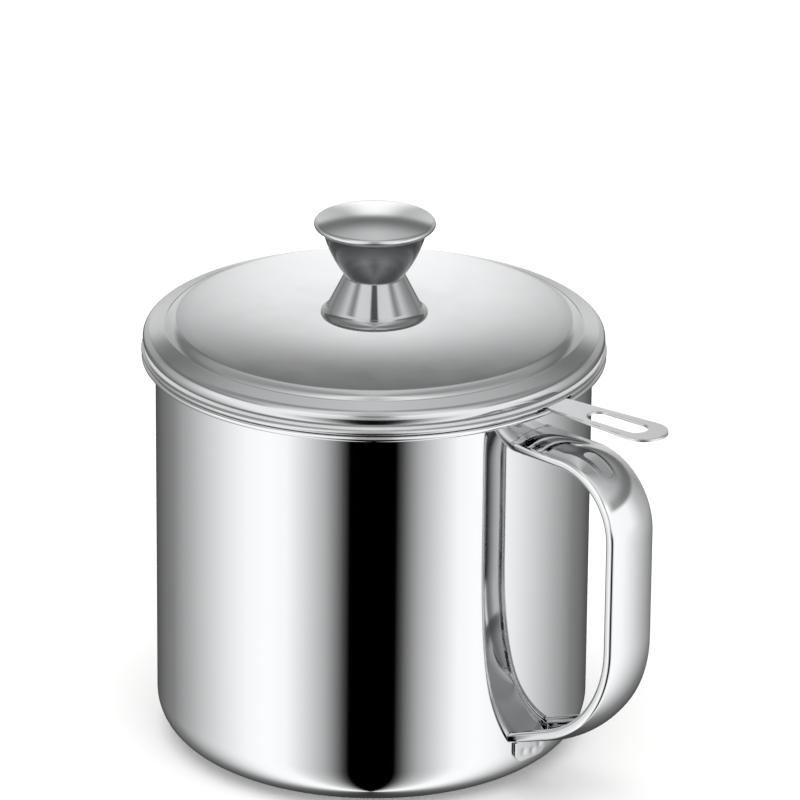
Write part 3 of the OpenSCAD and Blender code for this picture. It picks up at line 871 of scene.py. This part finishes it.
@dataclass
class HangingTab:
    """One sheet: a shield-shaped pad welded to the pan's wall, bent out to a slotted tab."""

    pan: Pan
    sheet: float = 0.8
    bend: float = 1.3
    depth: float = 18.6
    end_radius: float = 117.0
    width: float = 15.6
    neck: float = 9.0
    slot_width: float = 8.0
    slot_length: float = 22.0
    slot_margin: float = 7.0
    pad_width: float = 20.5
    pad_side: float = 5.3
    pad_corner: float = 2.3
    widening: float = 0.25      # mm that each side gains round the bend
    fade: float = 8.0           # mm past the bend where the wall's curve has died out
    grid: float = 0.55          # mm between the cuts that let the blank bend

    def build(self) -> None:
        """Builds the tab from its flat blank, which is then bent."""
        top = self.pan.flange_top - self.pan.wall
        bottom = self.pan.flange_top - self.depth
        straight = top - self.bend - bottom
        curved = self.bend * math.pi / 2
        bent = straight + curved
        bend_x = self.pan.radius + self.bend
        # Lengths along the blank, from the pad's lower edge.
        end_c = bent + self.end_radius - self.width / 2 - bend_x
        slot_out = end_c + self.width / 2 - self.slot_margin - self.slot_width / 2
        slot_in = slot_out - self.slot_length + self.slot_width
        half, neck = self.pad_width / 2, self.neck / 2
        side_top = self.pad_corner + self.pad_side
        shoulder = side_top + half - neck
        wide, foot = neck + self.widening, half - self.pad_corner
        line = FaceLine(foot, 0).to(half, self.pad_corner).to(half, side_top)
        line.to(neck, shoulder).to(neck, straight).to(wide, bent).to(self.width / 2, end_c)
        line.turn(0, end_c, 180, step=5).to(-wide, bent).to(-neck, straight)
        line.to(-neck, shoulder).to(-half, side_top).to(-half, self.pad_corner)
        line.to(-foot, 0).to(foot, 0)
        slot = FaceLine(self.slot_width / 2, slot_in).to(self.slot_width / 2, slot_out)
        slot.turn(0, slot_out, 180, step=7.5).to(-self.slot_width / 2, slot_in)
        slot.turn(0, slot_in, 180, step=7.5)
        mesh = line.mesh
        cutout = add_mesh("slot", slot.mesh).data
        mesh.from_mesh(cutout)
        bpy.data.meshes.remove(cutout)      # its object goes with it
        bmesh.ops.remove_doubles(mesh, verts=mesh.verts[:], dist=WELD)
        bmesh.ops.triangle_fill(mesh, use_beauty=True, use_dissolve=False,
                                edges=mesh.edges[:], normal=(0, -1, 0))
        grid_cut(mesh, self.grid)
        for point in mesh.verts:
            across, along = point.co.x / MM, point.co.z / MM
            if along <= straight:
                out, up = self.pan.radius, bottom + along
            elif along <= bent:
                turn = (along - straight) / self.bend
                out = bend_x - self.bend * math.cos(turn)
                up = top - self.bend + self.bend * math.sin(turn)
            else:
                out, up = bend_x + along - bent, top
            # The blank hugs the round wall below the bend, and is flat a little way past it.
            hug = 1 - min(1.0, max(0.0, along - straight) / (curved + self.fade))
            out -= hug * (self.pan.radius - math.sqrt(self.pan.radius ** 2 - across ** 2))
            point.co = Vector((out, across, up)) * MM
        # The face that looks up and at the pan is the drawn one, and the sheet is behind it.
        thicken(look_along(mesh, Vector((-0.2, 0, 1))), self.sheet, SOFT_CUT)
        bmesh.ops.rotate(mesh, verts=mesh.verts[:], cent=(0, 0, 0), matrix=Matrix.Rotation(
            math.radians(self.pan.tab_angle), 3, "Z"))
        place_piece("strainer_hanger", mesh, Body.STRAINER,
                    [SATIN_STEEL, LID_STEEL], ["strainer_tab"],
                    lambda centre, normal: int(normal.z > FACING_UP))


# --- Lid ------------------------------------------------------------------------------


@dataclass
class Lid:
    """The domed lid with its rolled edge, and the skirt ring caught in that edge."""

    wall: float = 0.6
    hole: float = 2.7
    seat_radius: float = 18.0
    top: float = 143.2
    crease_radius: float = 67.1     # where the dome ends and the cone round it starts
    crease_z: float = 139.8
    shoulder: float = 6.0           # radius of the dome's rounded edge
    shoulder_slope: float = 50.0
    crown_slope: float = 3.0
    edge_x: float = 70.95
    edge_radius: float = 3.05
    edge_z: float = 135.85
    edge_start: float = 66.0        # degrees from level where the rolled edge starts
    edge_margin: float = 0.4        # mm inside the rolled edge where its own finish starts
    lip: float = 1.7
    skirt_wall: float = 0.5
    skirt_radius: float = 66.7
    skirt_bend: float = 1.0
    skirt_bottom: float = 124.6
    skirt_curl: float = 3.0
    skirt_lip: float = 1.2

    def build(self) -> None:
        """Builds the lid's shell and its skirt."""
        sine, cosine = sin_cos(self.shoulder_slope)
        centre_x = self.crease_radius - self.shoulder * sine
        centre_z = self.crease_z - self.shoulder * cosine
        sine, cosine = sin_cos(self.crown_slope)
        run = centre_x + self.shoulder * sine - self.seat_radius
        drop = self.top - centre_z - self.shoulder * cosine
        crown = (run * run + drop * drop) / (2 * drop)
        turn = -math.degrees(math.asin(run / crown))
        line = FaceLine(self.hole, self.top).to(self.seat_radius, self.top)
        line.turn(self.seat_radius, self.top - crown, turn, step=0.25)
        line.turn(centre_x, centre_z, self.crown_slope - self.shoulder_slope, step=3)
        sine, cosine = sin_cos(self.edge_start)
        from_x = self.edge_x + self.edge_radius * cosine
        line.to(from_x, self.edge_z + self.edge_radius * sine)
        line.turn(self.edge_x, self.edge_z, -90 - self.edge_start)
        line.to(self.edge_x - self.lip, self.edge_z - self.edge_radius)
        place_piece("lid_cover", turned(line, -self.wall), Body.LID,
                    [LID_STEEL, EDGE_STEEL], ["lid_shell"],
                    lambda centre, normal: int(centre.xy.length > from_x - self.edge_margin))
        top = self.edge_z - self.edge_radius + self.wall
        line = FaceLine(self.edge_x, top).to(self.skirt_radius + self.skirt_bend, top)
        line.turn(self.skirt_radius + self.skirt_bend, top - self.skirt_bend, 90, step=10)
        curl_x, curl_z = self.skirt_radius - self.skirt_curl, self.skirt_bottom + self.skirt_curl
        line.to(self.skirt_radius, curl_z).turn(curl_x, curl_z, -90)
        line.to(curl_x - self.skirt_lip, self.skirt_bottom)
        place_piece("lid_skirt_ring", turned(line, -self.skirt_wall), Body.LID,
                    [EDGE_STEEL], ["lid_skirt"])


@dataclass
class Knob:
    """The spun knob: a flared lower cone, an upper bowl and a domed cap rolled over it."""

    seat: float = 143.2
    sheet: float = 0.8
    foot: float = 17.1
    foot_height: float = 0.8
    foot_step: float = 0.4
    cone: float = 14.7
    lip_height: float = 3.4
    lip_hollow: float = 0.35    # mm that the flared lip curves in below the cone
    waist: float = 9.7
    waist_z: float = 156.5
    waist_step: float = 0.4
    insert_hole: float = 4.4
    bowl: float = 16.8
    bowl_bulge: float = 1.0
    cap: float = 19.4
    cap_edge: float = 2.4
    cap_z: float = 173.7
    cap_start: float = 80.0
    cap_lip: float = 1.6
    cap_margin: float = 0.2     # mm inside the cap's rolled edge where its finish starts
    soft_waist: float = 0.1     # mm radius of the bowl's cut edges
    top: float = 177.2

    def build(self) -> None:
        """Builds the knob's three shells."""
        line = FaceLine(self.foot, self.seat).to(self.foot, self.seat + self.foot_height)
        line.to(self.foot - self.foot_step, self.seat + self.foot_height + self.foot_step)
        line.bow(self.cone, self.seat + self.lip_height, -self.lip_hollow)
        line.to(self.waist, self.waist_z).to(self.insert_hole, self.waist_z)
        place_piece("knob_lower_cone", turned(line, self.sheet, SMALL_STEPS), Body.LID,
                    [KNOB_STEEL], ["knob_base"])
        rim_z = self.cap_z - self.cap_edge / 2
        line = FaceLine(self.insert_hole, self.waist_z)
        line.to(self.waist - self.waist_step, self.waist_z)
        line.bow(self.bowl, rim_z, self.bowl_bulge, step=2)
        mesh = turned(line, self.sheet, SMALL_STEPS, self.soft_waist)
        # The bowl's rim is trimmed level, so that the cap rests flat on it.
        cut = bmesh.ops.bisect_plane(
            mesh, geom=mesh.verts[:] + mesh.edges[:] + mesh.faces[:], dist=ON_PLANE,
            plane_co=(0, 0, rim_z * MM), plane_no=(0, 0, 1), clear_outer=True,
        )["geom_cut"]
        bmesh.ops.bridge_loops(mesh, edges=[e for e in only(Edge, cut) if e.is_boundary])
        place_piece("knob_upper_bowl", face_out(mesh), Body.LID, [BOWL_STEEL],
                    ["knob_body"])
        edge = self.cap_edge / 2
        edge_x = self.cap - edge
        sine, cosine = sin_cos(self.cap_start)
        dome_x = edge_x + edge * cosine
        sink = self.top - self.cap_z - edge * sine
        dome = (dome_x ** 2 + sink ** 2) / (2 * sink)
        turn = -math.degrees(math.asin(dome_x / dome))
        line = FaceLine(0, self.top).turn(0, self.top - dome, turn, step=0.8)
        line.turn(edge_x, self.cap_z, -90 - self.cap_start, step=10)
        line.to(self.bowl - self.cap_lip, rim_z)
        place_piece("knob_top_cap", turned(line, -self.sheet, SMALL_STEPS), Body.LID,
                    [LID_STEEL, EDGE_STEEL], ["knob_cap"],
                    lambda centre, normal: int(centre.xy.length > dome_x - self.cap_margin))


@dataclass
class Fastener:
    """The screw, washer and insert that hold the knob, which keep their CAD shapes."""

    nodes: tuple[str, ...] = ("knob_screw", "knob_washer", "knob_insert")

    def build(self) -> None:
        """Dresses the fastener's CAD nodes."""
        for name in self.nodes:
            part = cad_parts[name]
            part.data.materials.clear()
            part.data.materials.append(FASTENER_STEEL.material())
            part.visible_glossy = False
            LOG.info("%s: dressed as it is", name)


# --- Studio ---------------------------------------------------------------------------


@dataclass
class Studio:
    """The camera, the pale floor and the soft light round the container."""

    azimuth: float = 43.7       # degrees, where 0 looks along +Y
    elevation: float = 23.31
    distance: float = 2043.0
    target_z: float = 60.0
    lens: float = 283.3
    sensor: float = 36.0
    near: float = 0.05          # metres from the camera where the picture starts
    far: float = 50.0           # metres from the camera where it ends
    pitch: float = 1.386        # degrees that the camera looks above its target
    yaw: float = -0.240
    roll: float = 0.426
    floor_colour: str = "#f7f7f6"
    floor_roughness: float = 0.9
    floor_shine: float = 0.1
    floor_radius: float = 6000.0
    floor_gap: float = 0.05     # mm from the floor to the pot's bottom
    light_gain: float = 1.6
    # Brightness round the room by angle from the camera, as a share of half a turn, at four
    # heights. Low: a dark gap where the camera stands, a softbox at either side, and a dim
    # room behind. Level: the softboxes' upper half, and a white wall opposite the camera.
    # High: a dim ceiling with a lamp either side of the camera. Top: a soft panel overhead.
    low_light: Pairs = (
        (0.0, 0.0), (0.068, 0.0), (0.085, 0.06), (0.14, 0.38), (0.197, 0.62), (0.257, 0.86),
        (0.318, 0.90), (0.384, 0.86), (0.455, 0.73), (0.534, 0.56), (0.62, 0.385),
        (0.738, 0.185), (0.88, 0.08), (1.0, 0.03),
    )
    level_light: Pairs = (
        (0.0, 0.35), (0.03, 0.38), (0.10, 0.75), (0.19, 0.9), (0.30, 0.88), (0.45, 0.85),
        (0.58, 0.45), (0.72, 0.28), (0.88, 0.45), (0.94, 0.55), (0.972, 0.38), (0.988, 0.78),
        (1.0, 0.88),
    )
    high_light: Pairs = (
        (0.0, 0.07), (0.045, 0.07), (0.07, 0.95), (0.26, 0.95), (0.34, 0.3), (0.5, 0.18),
        (0.7, 0.14), (0.9, 0.14), (1.0, 0.12),
    )
    top_light: Pairs = (
        (0.0, 0.4), (0.2, 0.75), (0.4, 0.45), (0.62, 0.25), (0.85, 0.28), (0.95, 0.42), (1.0, 0.5),
    )
    # Sines of the heights where one ramp gives way to the next.
    low_to_level: tuple[float, float] = (-0.25, -0.02)
    level_to_high: tuple[float, float] = (0.345, 0.445)
    high_to_top: tuple[float, float] = (0.50, 0.70)
    fill: float = 2.2           # W/m2 of soft light from above, which only matt faces show
    fill_angle: float = 80.0    # degrees across which it comes

    def camera(self) -> None:
        """Places the camera at the photograph's viewpoint."""
        east, north = sin_cos(self.azimuth)
        up, out = sin_cos(self.elevation)
        back = Vector((east * out, -north * out, up))
        data = bpy.data.cameras.new("camera")
        data.lens, data.sensor_width = self.lens, self.sensor
        data.clip_start, data.clip_end = self.near, self.far
        made = add_object("camera", data)
        made.location = (Vector((0, 0, self.target_z)) + back * self.distance) * MM
        made.rotation_mode = "QUATERNION"
        made.rotation_quaternion = (
            (-back).to_track_quat("-Z", "Y")
            @ Quaternion((1, 0, 0), math.radians(self.pitch))
            @ Quaternion((0, 1, 0), math.radians(self.yaw))
            @ Quaternion((0, 0, 1), math.radians(self.roll))
        )
        bpy.context.scene.camera = made

    def floor(self) -> None:
        """Lays a plain pale floor."""
        mesh = bmesh.new()
        bmesh.ops.create_circle(mesh, cap_ends=True, segments=96, radius=self.floor_radius * MM,
                                matrix=Matrix.Translation((0, 0, -self.floor_gap * MM)))
        made = add_mesh("floor", mesh)
        paint = bpy.data.materials.new("floor_matt_paper")
        paint.use_nodes = True
        shader = paint.node_tree.nodes["Principled BSDF"]
        shader.inputs["Base Color"].default_value = linear(self.floor_colour)
        shader.inputs["Roughness"].default_value = self.floor_roughness
        shader.inputs["Specular IOR Level"].default_value = self.floor_shine
        made.data.materials.append(paint)
        # The steel mirrors the room's lights and not the floor, as over a dark table.
        made.visible_glossy = False

    def light(self) -> None:
        """Lights the room from all round."""
        world = bpy.data.worlds.new("studio")
        bpy.context.scene.world = world
        world.use_nodes = True
        tree = world.node_tree
        tree.nodes.clear()
        east, north = sin_cos(self.azimuth)
        way = add_node(tree, "TexCoord").outputs["Generated"]
        height = add_node(tree, "SeparateXYZ", {}, {0: way}).outputs["Z"]
        level = add_node(tree, "VectorMath", {"operation": "MULTIPLY", 1: (1, 1, 0)}, {0: way})
        level = add_node(tree, "VectorMath", {"operation": "NORMALIZE"}, {0: level})
        toward = add_node(tree, "VectorMath", {"operation": "DOT_PRODUCT", 1: (east, -north, 0)},
                          {0: level}).outputs["Value"]
        angle = add_node(tree, "Math", {"operation": "ARCCOSINE"}, {0: toward})
        share = add_node(tree, "Math", {"operation": "DIVIDE", 1: math.pi}, {0: angle})
        room = None
        layers = ((self.low_light, None), (self.level_light, self.low_to_level),
                  (self.high_light, self.level_to_high), (self.top_light, self.high_to_top))
        for stops, heights in layers:
            ramp = add_node(tree, "ValToRGB", {}, {"Fac": share})
            set_ramp(ramp.color_ramp, stops)
            colour = ramp.outputs["Color"]
            if heights:
                rise = add_node(tree, "MapRange", {
                    "interpolation_type": "SMOOTHSTEP",
                    "From Min": heights[0], "From Max": heights[1],
                }, {"Value": height})
                colour = add_node(tree, "Mix", {"data_type": "RGBA"},
                                  {0: rise, 6: room, 7: colour}).outputs[2]
            room = colour
        glow = add_node(tree, "Background", {"Strength": self.light_gain}, {"Color": room})
        white = add_node(tree, "Background", {"Color": (1, 1, 1, 1), "Strength": 1.0})
        seen = add_node(tree, "LightPath").outputs["Is Camera Ray"]
        mix = add_node(tree, "MixShader", {}, {0: seen, 1: glow, 2: white})
        add_node(tree, "OutputWorld", {}, {"Surface": mix})
        data = bpy.data.lights.new("fill", "SUN")
        data.energy, data.angle = self.fill, math.radians(self.fill_angle)
        add_object("fill", data).visible_glossy = False

    def build(self) -> None:
        """Sets up the camera, floor, light and plain colour handling."""
        self.camera()
        self.floor()
        self.light()
        bpy.context.scene.view_settings.view_transform = "Standard"


def main() -> None:
    """Builds the studio and the container."""
    logging.basicConfig(level=logging.INFO, format="%(name)s %(message)s")
    Studio().build()
    pot = Pot()
    pan = Pan()
    parts = [pot, StrapHandle(pot), pan, Sieve(pan), HangingTab(pan), Lid(), Knob(), Fastener()]
    for part in parts:
        part.build()


if __name__ == "__main__":
    main()
